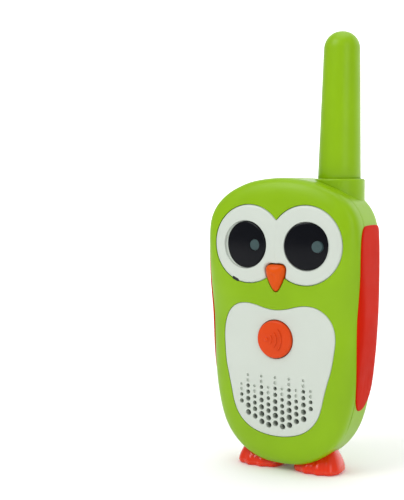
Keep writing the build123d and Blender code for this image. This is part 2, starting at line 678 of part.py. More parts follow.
with BuildPart() as case_screws:
    for x, z, tip_y in CASE_SCREWS:
        screw_along(REAR_FACING, -x, z, SCREW_HEAD_R, 1.8, SCREW_R, SCREW_HEAD_Y - tip_y - 0.6)
finish(case_screws, "case_screws")

# ---------------------------------------------------------------- speaker
SPEAKER_FACE_Y = INNER_FRONT_Y + 0.5

with BuildPart() as speaker_gasket:
    cylinder_along_y(0, SPEAKER_Z, INNER_FRONT_Y, SPEAKER_FACE_Y, SPEAKER_R)
    cylinder_along_y(0, SPEAKER_Z, INNER_FRONT_Y - 1, SPEAKER_FACE_Y + 1, SPEAKER_OPENING_R, mode=Mode.SUBTRACT)
finish(speaker_gasket, "speaker_gasket")

with BuildPart() as speaker_frame:
    cylinder_along_y(0, SPEAKER_Z, SPEAKER_FACE_Y, SPEAKER_FACE_Y + 0.8, SPEAKER_R)
    cylinder_along_y(0, SPEAKER_Z, SPEAKER_FACE_Y, SPEAKER_FACE_Y + 4.2, 15.4)
    cylinder_along_y(0, SPEAKER_Z, SPEAKER_FACE_Y - 1, SPEAKER_FACE_Y + 3.4, 14.6, mode=Mode.SUBTRACT)
    cylinder_along_y(0, SPEAKER_Z, SPEAKER_FACE_Y, SPEAKER_FACE_Y + 5, 5.2, mode=Mode.SUBTRACT)
    for angle in range(6):
        vent_x = 10.0 * math.cos(math.radians(60 * angle))
        vent_z = SPEAKER_Z + 10.0 * math.sin(math.radians(60 * angle))
        cylinder_along_y(vent_x, vent_z, SPEAKER_FACE_Y + 2, SPEAKER_FACE_Y + 5, 1.0, mode=Mode.SUBTRACT)
finish(speaker_frame, "speaker_frame")

with BuildPart() as speaker_cone:
    with BuildSketch(Plane.YZ):
        with BuildLine():
            Polyline((SPEAKER_FACE_Y + 0.05, SPEAKER_Z + 14.5), (SPEAKER_FACE_Y + 0.45, SPEAKER_Z + 14.5),
                     (SPEAKER_FACE_Y + 0.6, SPEAKER_Z + 12.0), (SPEAKER_FACE_Y + 2.8, SPEAKER_Z + 4.8),
                     (SPEAKER_FACE_Y + 1.4, SPEAKER_Z), (SPEAKER_FACE_Y + 1.0, SPEAKER_Z),
                     (SPEAKER_FACE_Y + 2.3, SPEAKER_Z + 4.9), (SPEAKER_FACE_Y + 0.05, SPEAKER_Z + 12.0),
                     (SPEAKER_FACE_Y + 0.05, SPEAKER_Z + 14.5))
        make_face()
    revolve(axis=Axis((0, 0, SPEAKER_Z), (0, 1, 0)))
finish(speaker_cone, "speaker_cone")

with BuildPart() as speaker_magnet:
    cylinder_along_y(0, SPEAKER_Z, SPEAKER_FACE_Y + 4.2, SPEAKER_FACE_Y + 8.4, 8.5)
    cylinder_along_y(0, SPEAKER_Z, SPEAKER_FACE_Y + 3.0, SPEAKER_FACE_Y + 5.0, 4.0)
finish(speaker_magnet, "speaker_magnet")

with BuildPart() as speaker_screws:
    for angle in SPEAKER_SCREW_ANGLES:
        post_x = (SPEAKER_R + 2.4) * math.sin(math.radians(angle))
        post_z = SPEAKER_Z + (SPEAKER_R + 2.4) * math.cos(math.radians(angle))
        plane = Plane(origin=(0, INNER_FRONT_Y + 1.5, 0), x_dir=(-1, 0, 0), z_dir=(0, 1, 0))
        screw_along(plane, -post_x, post_z, 3.4, 0.9, SMALL_SHANK_R, 1.7)
finish(speaker_screws, "speaker_screws")

# ---------------------------------------------------------------- microphone
with BuildPart() as microphone_boot:
    cylinder_along_y(MIC_X, MIC_Z, -12.2, -8.6, 4.0)
    cylinder_along_y(MIC_X, MIC_Z, -11.6, -8.6, 3.05, mode=Mode.SUBTRACT)
    cylinder_along_y(MIC_X, MIC_Z, -12.2, -11.6, 1.8, mode=Mode.SUBTRACT)
finish(microphone_boot, "microphone_boot")

with BuildPart() as microphone:
    cylinder_along_y(MIC_X, MIC_Z, -11.6, -9.0, 3.0)
finish(microphone, "microphone")

# ---------------------------------------------------------------- circuit board
with BuildPart() as circuit_board:
    box_between((-BOARD_HALF_WIDTH, BOARD_FRONT_Y, BOARD_BOTTOM), (BOARD_HALF_WIDTH, BOARD_BACK_Y, BOARD_TOP))
    chamfer(circuit_board.edges().filter_by(Axis.Y), 3)
    for x, z in BOARD_SCREWS:
        cylinder_along_y(x, z, BOARD_FRONT_Y - 1, BOARD_BACK_Y + 1, 1.15, mode=Mode.SUBTRACT)
    for side in (-1, 1):
        for leg in (-1.27, 1.27):
            leg_x = side * PUPIL_X + LAMP_SHIFT + leg
            cylinder_along_y(leg_x, PUPIL_Z, BOARD_FRONT_Y - 1, BOARD_BACK_Y + 1, 0.3, mode=Mode.SUBTRACT)
finish(circuit_board, "circuit_board")

BOARD_REAR = Plane(origin=(0, BOARD_BACK_Y, 0), x_dir=(-1, 0, 0), z_dir=(0, 1, 0))

with BuildPart() as board_screws:
    for x, z in BOARD_SCREWS:
        screw_along(BOARD_REAR, -x, z, 2.0, 0.9, SMALL_SHANK_R, 5.0)
finish(board_screws, "board_screws")

with BuildPart() as radio_chip:
    box_between((-14, BOARD_BACK_Y + 0.5, 79), (-4, BOARD_BACK_Y + 3.3, 92))
    for pin in range(5):
        pin_z = 80.2 + 2.5 * pin
        box_between((-15.4, BOARD_BACK_Y, pin_z), (-13.5, BOARD_BACK_Y + 1.4, pin_z + 0.6))
        box_between((-4.5, BOARD_BACK_Y, pin_z), (-2.6, BOARD_BACK_Y + 1.4, pin_z + 0.6))
finish(radio_chip, "radio_chip")

with BuildPart() as crystal:
    with BuildSketch(BOARD_REAR):
        with Locations((11.0, 101.5)):
            SlotOverall(10.5, 4.2)
    extrude(amount=3.6)
finish(crystal, "crystal")

with BuildPart() as tuning_coils:
    for x, z in ((4.0, 89.0), (12.4, 89.0), (4.0, 79.0)):
        box_between((x - 3.5, BOARD_BACK_Y, z - 3.5), (x + 3.5, BOARD_BACK_Y + 7.5, z + 3.5))
        cylinder_along_y(x, z, BOARD_BACK_Y + 6.7, BOARD_BACK_Y + 8.0, 2.0, mode=Mode.SUBTRACT)
finish(tuning_coils, "tuning_coils")

CAPACITORS = [(-17.5, 74.8, 3.1, 9.0), (-10.5, 75, 2.5, 8.0), (14.5, 77, 2.5, 8.0), (0.5, 97, 2.0, 6.0)]

with BuildPart() as capacitors:
    for x, z, radius, height in CAPACITORS:
        cylinder_along_y(x, z, BOARD_BACK_Y, BOARD_BACK_Y + height, radius)
finish(capacitors, "capacitors")

with BuildPart() as resistors:
    for row in range(5):
        with Locations((-14.0 + 5.6 * row, BOARD_BACK_Y + 1.05, 70.4)):
            Cylinder(1.05, 4.6)
finish(resistors, "resistors")

# ---------------------------------------------------------------- batteries and their contacts
with BuildPart() as battery_cells:
    for column, upright in ((-1, 1), (0, -1), (1, 1)):
        x = column * CELL_PITCH
        body_low = CELL_BOTTOM if upright > 0 else CELL_BOTTOM + 0.8
        nub_low = CELL_TOP - 0.8 if upright > 0 else CELL_BOTTOM
        with BuildSketch(Plane.XY.offset(body_low)):
            with Locations((x, CELL_Y)):
                Circle(CELL_R)
        extrude(amount=CELL_TOP - CELL_BOTTOM - 0.8)
        with BuildSketch(Plane.XY.offset(nub_low)):
            with Locations((x, CELL_Y)):
                Circle(1.9)
        extrude(amount=0.8)
finish(battery_cells, "battery_cells")

with BuildPart() as battery_springs:
    for column, low in ((-1, BAY_BOTTOM + 0.4), (0, CELL_TOP), (1, BAY_BOTTOM + 0.4)):
        room = CELL_BOTTOM - BAY_BOTTOM - 0.4 if column else BAY_TOP - 0.4 - CELL_TOP
        x = column * CELL_PITCH
        turns = 4 if column else 1
        pitch = room / turns
        for turn in range(turns):
            with BuildSketch(Plane.XY.offset(low + pitch * turn)):
                with Locations((x, CELL_Y)):
                    Circle(3.2 - 0.3 * turn)
                    Circle(2.4 - 0.3 * turn, mode=Mode.SUBTRACT)
            extrude(amount=pitch * 0.6)
            with BuildSketch(Plane.XY.offset(low + pitch * turn)):
                with Locations((x + (2.8 - 0.3 * turn) * (-1) ** turn, CELL_Y)):
                    Rectangle(0.7, 0.7)
            extrude(amount=pitch)
finish(battery_springs, "battery_springs")

with BuildPart() as battery_contacts:
    box_between((-15.6, 1.0, BAY_BOTTOM), (-8.0, CELL_Y + 3.4, BAY_BOTTOM + 0.4))
    box_between((-3.0, 1.0, BAY_BOTTOM), (3.0, CELL_Y + 3.4, BAY_BOTTOM + 0.4))
    box_between((8.0, 1.0, BAY_BOTTOM), (15.6, CELL_Y + 3.4, BAY_BOTTOM + 0.4))
    box_between((3.0, 1.0, BAY_BOTTOM), (8.0, 3.0, BAY_BOTTOM + 0.4))
    box_between((-2.4, CELL_Y - 2, BAY_BOTTOM + 0.4), (2.4, CELL_Y + 2, CELL_BOTTOM))
    box_between((-15.6, CELL_Y - 4, BAY_TOP - 0.4), (4.6, CELL_Y + 4, BAY_TOP))
    box_between((-13.4, CELL_Y - 2, CELL_TOP), (-8.4, CELL_Y + 2, BAY_TOP - 0.4))
    box_between((6.2, CELL_Y - 4, BAY_TOP - 0.4), (15.6, CELL_Y + 4, BAY_TOP))
    box_between((8.4, CELL_Y - 2, CELL_TOP), (13.4, CELL_Y + 2, BAY_TOP - 0.4))
finish(battery_contacts, "battery_contacts")

with BuildPart() as battery_door:
    with BuildSketch(at_y(16)):
        door_face(0)
    extrude(amount=8)
    add(OUTER_FORM, mode=Mode.INTERSECT)
    add(DOOR_INNER_FORM, mode=Mode.SUBTRACT)
    for side in (-1, 1):
        box_between((side * HOOK_X - 2, 6.6, 15.3), (side * HOOK_X + 2, 11.6, 16.8))
        box_between((side * HOOK_X - 2, 6.6, 12.4), (side * HOOK_X + 2, 8.0, 16.8))
    cylinder_along_y(0, DOOR_SCREW_Z, 5, 16, 1.4, mode=Mode.SUBTRACT)
    cylinder_along_y(0, DOOR_SCREW_Z, DOOR_SCREW_SEAT_Y, 16, 2.7, mode=Mode.SUBTRACT)
finish(battery_door, "battery_door")

DOOR_SCREW_SEAT = Plane(origin=(0, DOOR_SCREW_SEAT_Y, 0), x_dir=(-1, 0, 0), z_dir=(0, 1, 0))

with BuildPart() as battery_door_screw:
    screw_along(DOOR_SCREW_SEAT, 0, DOOR_SCREW_Z, 2.4, 1.1, SCREW_R, 7.2)
finish(battery_door_screw, "battery_door_screw")

# ---------------------------------------------------------------- belt clip
KNUCKLE_R = 2.5
SPRING_HALF = 4.0

with BuildPart() as belt_clip:
    box_between((-CLIP_HALF_WIDTH, CLIP_INNER_Y, CLIP_BOTTOM), (CLIP_HALF_WIDTH, CLIP_OUTER_Y, CLIP_TOP))
    fillet(belt_clip.edges().filter_by(Axis.Y), 3.0)
    box_between((-7.5, 13.8, CLIP_BOTTOM + 0.4), (7.5, CLIP_INNER_Y + 0.5, CLIP_BOTTOM + 2.4))
    for side in (-1, 1):
        with BuildSketch(Plane.YZ.offset(side * SPRING_HALF)):
            with Locations((CLIP_AXLE_Y, CLIP_AXLE_Z)):
                Circle(KNUCKLE_R)
            with Locations((CLIP_AXLE_Y + 1.2, CLIP_AXLE_Z)):
                Rectangle(2.4, 2 * KNUCKLE_R)
        extrude(amount=side * (CLIP_HALF_WIDTH - SPRING_HALF))
    with BuildSketch(Plane.YZ.offset(-14)):
        with Locations((CLIP_AXLE_Y, CLIP_AXLE_Z)):
            Circle(CLIP_AXLE_R + 0.06)
    extrude(amount=28, mode=Mode.SUBTRACT)
    # room for the spring
    box_between((-SPRING_HALF, 12, CLIP_AXLE_Z - 3.4), (SPRING_HALF, CLIP_INNER_Y + 0.9, CLIP_AXLE_Z + 3.4),
                mode=Mode.SUBTRACT)
finish(belt_clip, "belt_clip")

with BuildPart() as belt_clip_axle:
    with BuildSketch(Plane.YZ.offset(-13.4)):
        with Locations((CLIP_AXLE_Y, CLIP_AXLE_Z)):
            Circle(CLIP_AXLE_R)
    extrude(amount=26.8)
finish(belt_clip_axle, "belt_clip_axle")

with BuildPart() as belt_clip_spring:
    for turn in range(5):
        with BuildSketch(Plane.YZ.offset(-3.0 + 1.2 * turn)):
            with Locations((CLIP_AXLE_Y, CLIP_AXLE_Z)):
                Circle(2.1)
                Circle(CLIP_AXLE_R + 0.05, mode=Mode.SUBTRACT)
        extrude(amount=0.9)
    box_between((-3.0, CLIP_AXLE_Y - 2.1, CLIP_AXLE_Z - 0.4), (2.7, CLIP_AXLE_Y - 1.4, CLIP_AXLE_Z + 0.4))
    box_between((-0.4, CLIP_AXLE_Y - 2.1, CLIP_AXLE_Z - 7.0), (0.4, CLIP_AXLE_Y - 1.4, CLIP_AXLE_Z))
finish(belt_clip_spring, "belt_clip_spring")
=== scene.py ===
"""Looks of the owl-shaped toy walkie talkie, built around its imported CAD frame.

Lengths are millimetres, and MM turns them into Blender's metres; only the stage, the lights and the
camera are in metres.  Front is -Y, up is +Z.
"""
import math

import bmesh
import bpy
import numpy as np
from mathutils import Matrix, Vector


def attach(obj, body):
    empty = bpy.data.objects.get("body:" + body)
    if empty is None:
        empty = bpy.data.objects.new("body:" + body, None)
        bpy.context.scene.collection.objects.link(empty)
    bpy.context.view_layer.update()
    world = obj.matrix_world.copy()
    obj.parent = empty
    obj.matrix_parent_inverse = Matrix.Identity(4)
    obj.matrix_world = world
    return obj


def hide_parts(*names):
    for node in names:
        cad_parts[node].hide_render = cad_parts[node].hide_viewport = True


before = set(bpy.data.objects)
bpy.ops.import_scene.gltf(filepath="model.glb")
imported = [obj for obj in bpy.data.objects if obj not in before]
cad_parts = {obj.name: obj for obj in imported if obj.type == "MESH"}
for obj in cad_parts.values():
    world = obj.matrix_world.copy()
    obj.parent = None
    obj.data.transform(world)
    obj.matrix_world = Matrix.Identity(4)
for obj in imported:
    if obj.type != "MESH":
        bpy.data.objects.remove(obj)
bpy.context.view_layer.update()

MM = 0.001
scene = bpy.context.scene

# ---------------------------------------------------------------- driving dimensions
BODY_OUTLINE = [                      # right half of the body's outline, top to bottom
    (0, 121), (11.8, 119.9), (20, 117.3), (26.2, 113.8), (30.9, 109.2),
    (33.6, 103.5), (34.5, 95), (34.7, 80), (34.3, 64), (33.2, 48),
    (31.2, 32.5), (27.0, 18.2), (20.3, 9.4), (11, 4.1), (0, 2.8),
]
BODY_MID_Z = 61.9
PARTING_Y = -7.6
FRONT_MID_Y = -6.5                    # where the front's crown begins
FRONT_DEPTH = 11.1
FRONT_POWER_SIDE = 2.35               # how square the front's edge is at the sides
FRONT_POWER_TOP = 7.0                 # at the brow
FRONT_POWER_BOTTOM = 4.2              # and at the bottom
REAR_Y = 13.0                         # the body's flat back
REAR_ROUND = 9.0                      # and the radius of its edge

EYE_X, EYE_Z, EYE_R = 12.75, 94.05, 16.1
EYE_DOME = 0.9                        # how far each white swells above the body's crown
PUPIL_X, PUPIL_Z, PUPIL_R = 13.9, 93.75, 9.5
PUPIL_FACE_Y = -18.2
PUPIL_TURN = 8.0                      # degrees that each pupil faces outward
LAMP_SHIFT, LAMP_R = 4.7, 2.35        # both lamps sit towards +X in their pupils
TALK_Z, TALK_R, TALK_FACE_Y = 55.65, 7.7, -19.4
BUTTON_GAP = 0.35
SPEAKER_Z, SPEAKER_OPENING_R = 29.2, 15.8
MIC_X, MIC_Z, MIC_TILT = -18.7, 79.4, -24.0
MIC_HALF_LENGTH, MIC_HALF_WIDTH = 1.75, 0.68
POCKET_GAP = 0.12                     # round the eye mask and the belly plate
PLATE_LEDGE = 1.8                     # ledge under the belly plate around the speaker opening

PLATE_OUTLINE = [                     # right half of the belly plate, top to bottom
    (0, 67.5), (5, 68.1), (9.1, 69.2), (13.4, 69.8), (18, 69.1), (22.1, 66.2),
    (24.5, 61.8), (25.3, 56.7), (24.8, 50.2), (23.9, 44.3), (22.4, 38.7), (21, 33),
    (20.0, 28.6), (18.5, 24.6), (15.8, 20.9), (11.7, 17.9), (6.2, 16.1), (0, 15.5),
]
BEAK_OUTLINE = [
    (0, 86.0), (2.5, 85.95), (3.8, 85.3), (4.3, 84.2), (4.2, 82.8), (3.75, 80.9),
    (3.0, 79.0), (2.2, 77.4), (1.4, 76.1), (0.7, 75.3), (0, 75.1),
]
BEAK_FACE_Y, BEAK_BASE_Y = -20.0, -17.2
GRIP_OUTLINE = [                      # (y, z) of the side grips
    (-4.6, 102), (4.0, 102), (6.2, 101.2), (7.0, 98.4), (7.0, 80), (7.0, 60), (6.9, 46),
    (6.2, 37), (4.4, 31), (1.4, 27.6),
    (-1.9, 26.7), (-4.8, 27.9), (-7.4, 31.4), (-9.2, 37.5), (-10.3, 49), (-10.8, 65), (-11.4, 82),
    (-11.5, 92), (-10.6, 98.0), (-8.3, 101.2),
]
GRIP_PROUD, GRIP_ROLL, GRIP_DEPTH = 0.5, 0.5, 0.8

ANTENNA_FOOT = Vector((18.4, 2.7, 118.2))
ANTENNA_LEAN = 0.8
ANTENNA_TOP = 180.0
ANTENNA_ROOT_R, ANTENNA_END_R = 8.7, 7.35


SIDES = ((-1, "left"), (1, "right"))
FORWARD = (0, -1, 0)

# ---------------------------------------------------------------- depths inside the front shell
CUT_FRONT_Y = -25                     # every cutting tool starts here, clear of the front
INSIDE_Y = -10                        # and ends here where it goes right through
MIC_SLOT_Y = -11
BEAK_HOLE_Y = -9
EYE_POCKET_Y = -12.9
PLATE_POCKET_Y = -13.6
HOLLOW_Y = -12.4                      # inner face of the front wall
WALL = 2.2


# ---------------------------------------------------------------- curve and surface helpers
def smooth_loop(points, steps):
    """Closed Catmull-Rom curve through the points."""
    count = len(points)
    loop = []
    for i in range(count):
        p0, p1, p2, p3 = (np.array(points[(i + k) % count], float) for k in (-1, 0, 1, 2))
        for step in range(steps):
            t = step / steps
            loop.append(0.5 * (2 * p1 + (p2 - p0) * t + (2 * p0 - 5 * p1 + 4 * p2 - p3) * t**2
                               + (3 * p1 - p0 - 3 * p2 + p3) * t**3))
    return np.array(loop)


def mirrored(right):
    """A closed outline from its right half."""
    return right + [(-x, z) for x, z in right[-2:0:-1]]


def resample(loop, count):
    """The same closed loop with evenly spaced points."""
    closed = np.vstack([loop, loop[:1]])
    along = np.concatenate([[0], np.cumsum(np.linalg.norm(np.diff(closed, axis=0), axis=1))])
    wanted = np.linspace(0, along[-1], count, endpoint=False)
    return np.column_stack([np.interp(wanted, along, closed[:, k]) for k in (0, 1)])


def even_loop(right, steps, count):
    """Evenly spaced closed outline from its right half."""
    return resample(smooth_loop(mirrored(right), steps), count)


def inset(loop, distance):
    """The closed loop moved inward along its normals."""
    ahead = np.roll(loop, -1, axis=0) - np.roll(loop, 1, axis=0)
    normal = np.column_stack([-ahead[:, 1], ahead[:, 0]])
    normal /= np.linalg.norm(normal, axis=1)[:, None]
    area = np.sum(loop[:, 0] * np.roll(loop[:, 1], -1) - np.roll(loop[:, 0], -1) * loop[:, 1])
    return loop + normal * distance * (1 if area > 0 else -1)


PLATE_LOOP = even_loop(PLATE_OUTLINE, 8, 144)
BEAK_LOOP = even_loop(BEAK_OUTLINE, 8, 72)
BODY_LOOP = smooth_loop(mirrored(BODY_OUTLINE), 24)
BODY_ANGLES = np.unwrap(np.arctan2(BODY_LOOP[:, 1] - BODY_MID_Z, BODY_LOOP[:, 0]))
BODY_RADII = np.hypot(BODY_LOOP[:, 0], BODY_LOOP[:, 1] - BODY_MID_Z)
ANGLE_ORDER = np.argsort(BODY_ANGLES % (2 * math.pi))
ANGLE_TABLE = (BODY_ANGLES % (2 * math.pi))[ANGLE_ORDER]
RADIUS_TABLE = BODY_RADII[ANGLE_ORDER]


def outline_radius(angle):
    """Distance from the body's middle to its outline in one direction."""
    return float(np.interp(angle % (2 * math.pi), ANGLE_TABLE, RADIUS_TABLE, period=2 * math.pi))


def front_power(angle):
    """How square the front's rounding is in one direction."""
    upright = FRONT_POWER_TOP if math.sin(angle) > 0 else FRONT_POWER_BOTTOM
    return FRONT_POWER_SIDE + (upright - FRONT_POWER_SIDE) * math.sin(angle) ** 2


def front_y(x, z):
    """The front surface of the body."""
    angle = math.atan2(z - BODY_MID_Z, x)
    part = min(math.hypot(x, z - BODY_MID_Z) / outline_radius(angle), 1.0)
    power = front_power(angle)
    return FRONT_MID_Y - FRONT_DEPTH * max(1 - part**power, 0.0) ** (1 / power)


def side_x(y, z):
    """Half-width of the body at a height and a depth."""
    edge = max(abs(x) for x, height in BODY_LOOP if abs(height - z) < 0.8)
    if y > REAR_Y - REAR_ROUND:
        return edge - REAR_ROUND + math.sqrt(max(REAR_ROUND**2 - (y - REAR_Y + REAR_ROUND) ** 2, 0))
    if y >= FRONT_MID_Y:
        return edge
    low, high = 0.0, edge
    for _ in range(24):
        middle = (low + high) / 2
        if front_y(middle, z) < y:
            low = middle
        else:
            high = middle
    return (low + high) / 2


# ---------------------------------------------------------------- mesh helpers
def link(name, mesh):
    """A scene object for a mesh."""
    piece = bpy.data.objects.new(name, mesh)
    scene.collection.objects.link(piece)
    return piece


def from_bmesh(name, bm, sharp=40):
    """Finish a bmesh built in millimetres: normals out, smooth faces, sharp edges by angle."""
    bmesh.ops.remove_doubles(bm, verts=bm.verts, dist=0.002)
    bmesh.ops.recalc_face_normals(bm, faces=bm.faces)
    bmesh.ops.scale(bm, verts=bm.verts, vec=(MM, MM, MM))
    mesh = bpy.data.meshes.new(name)
    bm.to_mesh(mesh)
    bm.free()
    smooth(mesh, sharp)
    return link(name, mesh)


def smooth(mesh, sharp=40):
    """Smooth shading with sharp edges above an angle."""
    for face in mesh.polygons:
        face.use_smooth = True
    mesh.set_sharp_from_angle(angle=math.radians(sharp))


def skin_rings(bm, rings):
    """Join rings of equal length with quads, and close both ends."""
    loops = [[bm.verts.new(point) for point in ring] for ring in rings]
    count = len(loops[0])
    for a, b in zip(loops, loops[1:]):
        for i in range(count):
            j = (i + 1) % count
            bm.faces.new((a[i], a[j], b[j], b[i]))
    for loop in (loops[0], loops[-1]):
        middle = bm.verts.new(sum((v.co for v in loop), Vector()) / count)
        for i in range(count):
            bm.faces.new((loop[i], loop[(i + 1) % count], middle))


def skinned(name, rings, sharp=40):
    """One closed piece over its rings."""
    bm = bmesh.new()
    skin_rings(bm, rings)
    return from_bmesh(name, bm, sharp)


def lathe(name, profile, origin, axis, count=96):
    """Turned piece: profile is (radius, height along the axis), closed at both ends."""
    axis = Vector(axis).normalized()
    x_dir = (Vector((1, 0, 0)) - axis * axis.x).normalized()
    y_dir = axis.cross(x_dir)
    rings = []
    for radius, height in profile:
        ring = []
        for i in range(count):
            turn = 2 * math.pi * i / count
            ring.append(Vector(origin) + axis * height
                        + (x_dir * math.cos(turn) + y_dir * math.sin(turn)) * max(radius, 0.001))
        rings.append(ring)
    return skinned(name, rings)


def plateau(name, loop, place, height, roll, depth, rings=14, sharp=50):
    """A raised panel: a closed (u, v) outline, rounded edges and a crowned middle on a surface.

    place(u, v, h) gives the point at height h above the surface; the panel goes depth below it.
    """
    middle = loop.mean(axis=0)
    levels = [(loop, -depth), (loop, -depth * 0.5)]
    for step in range(7):
        turn = math.pi / 2 * step / 6
        levels.append((inset(loop, roll * (1 - math.cos(turn))), height - roll * (1 - math.sin(turn))))
    inner = inset(loop, roll)
    for step in range(1, rings):
        part = 1 - (step / rings) ** 0.9
        levels.append((middle + (inner - middle) * part, height))
    return skinned(name, [[place(u, v, h) for u, v in ring] for ring, h in levels], sharp)


def prism(name, loop, y_to, y_from=CUT_FRONT_Y):
    """A closed (x, z) outline carried between two depths; most are cutting tools."""
    return skinned(name, [[Vector((x, y, z)) for x, z in loop] for y in (y_from, y_to)])


def circle(x, z, radius, count=64):
    """Points of a circle in the (x, z) plane."""
    turns = np.linspace(0, 2 * math.pi, count, endpoint=False)
    return np.column_stack([x + radius * np.cos(turns), z + radius * np.sin(turns)])


def cut(piece, tools):
    """Cut the piece by each tool, and remove the tools."""
    for tool in tools:
        step = piece.modifiers.new("cut", "BOOLEAN")
        step.operation = "DIFFERENCE"
        step.solver = "EXACT"
        step.object = tool
        deps = bpy.context.evaluated_depsgraph_get()
        mesh = bpy.data.meshes.new_from_object(piece.evaluated_get(deps))
        piece.modifiers.remove(step)
        old = piece.data
        piece.data = mesh
        mesh.name = old.name
        bpy.data.meshes.remove(old)
        bpy.data.objects.remove(tool)
    smooth(piece.data)


def join(pieces, name):
    """One object from several."""
    bm = bmesh.new()
    for piece in pieces:
        bm.from_mesh(piece.data)
        bpy.data.objects.remove(piece)
    mesh = bpy.data.meshes.new(name)
    bm.to_mesh(mesh)
    bm.free()
    smooth(mesh)
    return link(name, mesh)


# ---------------------------------------------------------------- materials
def settings(node, values):
    """Set several unlinked inputs of a shader node."""
    for name, value in values.items():
        node.inputs[name].default_value = value


def plastic(name, colour, roughness, grain=0.12, grain_size=0.45, tint=0.06, coat=0.0, ior=1.45):
    """Moulded plastic: slight colour drift, handling marks in the gloss, and fine moulding grain."""
    material = bpy.data.materials.new(name)
    material.use_nodes = True
    nodes = material.node_tree.nodes
    links = material.node_tree.links
    shader = nodes["Principled BSDF"]
    place = nodes.new("ShaderNodeTexCoord")

    drift = nodes.new("ShaderNodeTexNoise")
    settings(drift, {"Scale": 38, "Detail": 4})
    links.new(place.outputs["Object"], drift.inputs["Vector"])
    shade = nodes.new("ShaderNodeValToRGB")
    shade.color_ramp.elements[0].position = 0.3
    shade.color_ramp.elements[1].position = 0.7
    shade.color_ramp.elements[0].color = [c * (1 - tint) for c in colour] + [1]
    shade.color_ramp.elements[1].color = [min(c * (1 + tint), 1) for c in colour] + [1]
    links.new(drift.outputs["Fac"], shade.inputs["Fac"])
    links.new(shade.outputs["Color"], shader.inputs["Base Color"])

    marks = nodes.new("ShaderNodeTexNoise")
    settings(marks, {"Scale": 160, "Detail": 6, "Roughness": 0.65})
    links.new(place.outputs["Object"], marks.inputs["Vector"])
    gloss = nodes.new("ShaderNodeMapRange")
    settings(gloss, {"From Min": 0.3, "From Max": 0.7,
                     "To Min": max(roughness - 0.05, 0.02), "To Max": roughness + 0.06})
    links.new(marks.outputs["Fac"], gloss.inputs["Value"])
    links.new(gloss.outputs["Result"], shader.inputs["Roughness"])

    fine = nodes.new("ShaderNodeTexNoise")
    settings(fine, {"Scale": 1 / (grain_size * MM), "Detail": 2})
    links.new(place.outputs["Object"], fine.inputs["Vector"])
    bump = nodes.new("ShaderNodeBump")
    settings(bump, {"Strength": grain, "Distance": 0.05 * MM})
    links.new(fine.outputs["Fac"], bump.inputs["Height"])
    links.new(bump.outputs["Normal"], shader.inputs["Normal"])

    settings(shader, {"IOR": ior})
    if coat:
        settings(shader, {"Coat Weight": coat, "Coat Roughness": 0.06})
    return material


def metal(name, colour, roughness, brushed=0.25):
    """Plated or brushed metal with a fine grain in its bump."""
    material = plastic(name, colour, roughness, grain=brushed, grain_size=0.2, tint=0.08)
    settings(material.node_tree.nodes["Principled BSDF"], {"Metallic": 1.0})
    return material


GREEN = plastic("green_plastic", (0.235, 0.435, 0.001), 0.34, grain=0.10, ior=1.32)
WHITE = plastic("white_plastic", (0.575, 0.625, 0.56), 0.34, grain=0.08, tint=0.02, ior=1.4)
BLACK_GLOSS = plastic("black_gloss", (0.0015, 0.002, 0.004), 0.16, grain=0.02, ior=1.25)
LAMP = plastic("lamp_lens", (0.045, 0.080, 0.082), 0.2, grain=0.02, ior=1.35)
ORANGE = plastic("talk_orange", (0.66, 0.055, 0.002), 0.34, grain=0.08, ior=1.3)
BEAK = plastic("beak_orange", (0.67, 0.079, 0.001), 0.32, grain=0.06, ior=1.25)
GRIP = plastic("grip_rubber", (0.54, 0.012, 0.0006), 0.5, grain=0.22, grain_size=0.35, ior=1.12)
RED_GLOSS = plastic("red_gloss", (0.76, 0.030, 0.003), 0.14, grain=0.03, coat=0.25, ior=1.35)
STEEL = metal("zinc_steel", (0.62, 0.62, 0.60), 0.32)
BLACK = plastic("black_plastic", (0.018, 0.018, 0.019), 0.5, grain=0.3)
BOARD = plastic("solder_mask", (0.02, 0.16, 0.05), 0.35, grain=0.25, grain_size=1.2)
CONE = plastic("paper_cone", (0.03, 0.03, 0.032), 0.8, grain=0.6, grain_size=0.8)
JACKET = plastic("cell_jacket", (0.09, 0.10, 0.12), 0.3, grain=0.05)
TAN = plastic("lacquer_tan", (0.50, 0.36, 0.18), 0.35, grain=0.05)
CAN = metal("coil_can", (0.75, 0.75, 0.73), 0.22)

NODE_MATERIALS = {
    GREEN: ["front_shell", "rear_shell", "antenna", "battery_door", "belt_clip"],
    WHITE: ["eye_mask", "belly_plate"],
    BLACK_GLOSS: ["left_pupil", "right_pupil"],
    LAMP: ["left_eye_lamp", "right_eye_lamp"],
    ORANGE: ["talk_button"],
    BEAK: ["beak_button"],
    GRIP: ["left_grip", "right_grip"],
    RED_GLOSS: ["left_foot", "right_foot"],
    STEEL: ["foot_screws", "case_screws", "speaker_screws", "board_screws", "battery_springs",
            "battery_contacts", "battery_door_screw", "belt_clip_axle", "belt_clip_spring", "speaker_frame",
            "speaker_magnet", "antenna_rod", "microphone"],
    BLACK: ["antenna_retainer", "speaker_gasket", "microphone_boot", "talk_switch", "talk_switch_plunger",
            "beak_switch", "beak_switch_plunger", "radio_chip", "capacitors"],
    BOARD: ["circuit_board"],
    CONE: ["speaker_cone"],
    JACKET: ["battery_cells"],
    TAN: ["resistors"],
    CAN: ["crystal", "tuning_coils"],
}
for material, names in NODE_MATERIALS.items():
    for node_name in names:
        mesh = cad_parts[node_name].data
        mesh.materials.clear()
        mesh.materials.append(material)
        smooth(mesh, 35)


def dress(piece, body, node, material):
    """Give a piece its material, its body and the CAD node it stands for."""
    piece.data.materials.clear()
    piece.data.materials.append(material)
    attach(piece, body)
    if node:
        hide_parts(node)


# ---------------------------------------------------------------- front shell
COLUMNS = 224
ROWS = 44
LIP = [(0.34, 0.0), (0.26, 0.14), (0.09, 0.26)]    # (inset, distance ahead of the parting line)
LIP_FRONT = 0.32                      # where the lip meets the front's surface


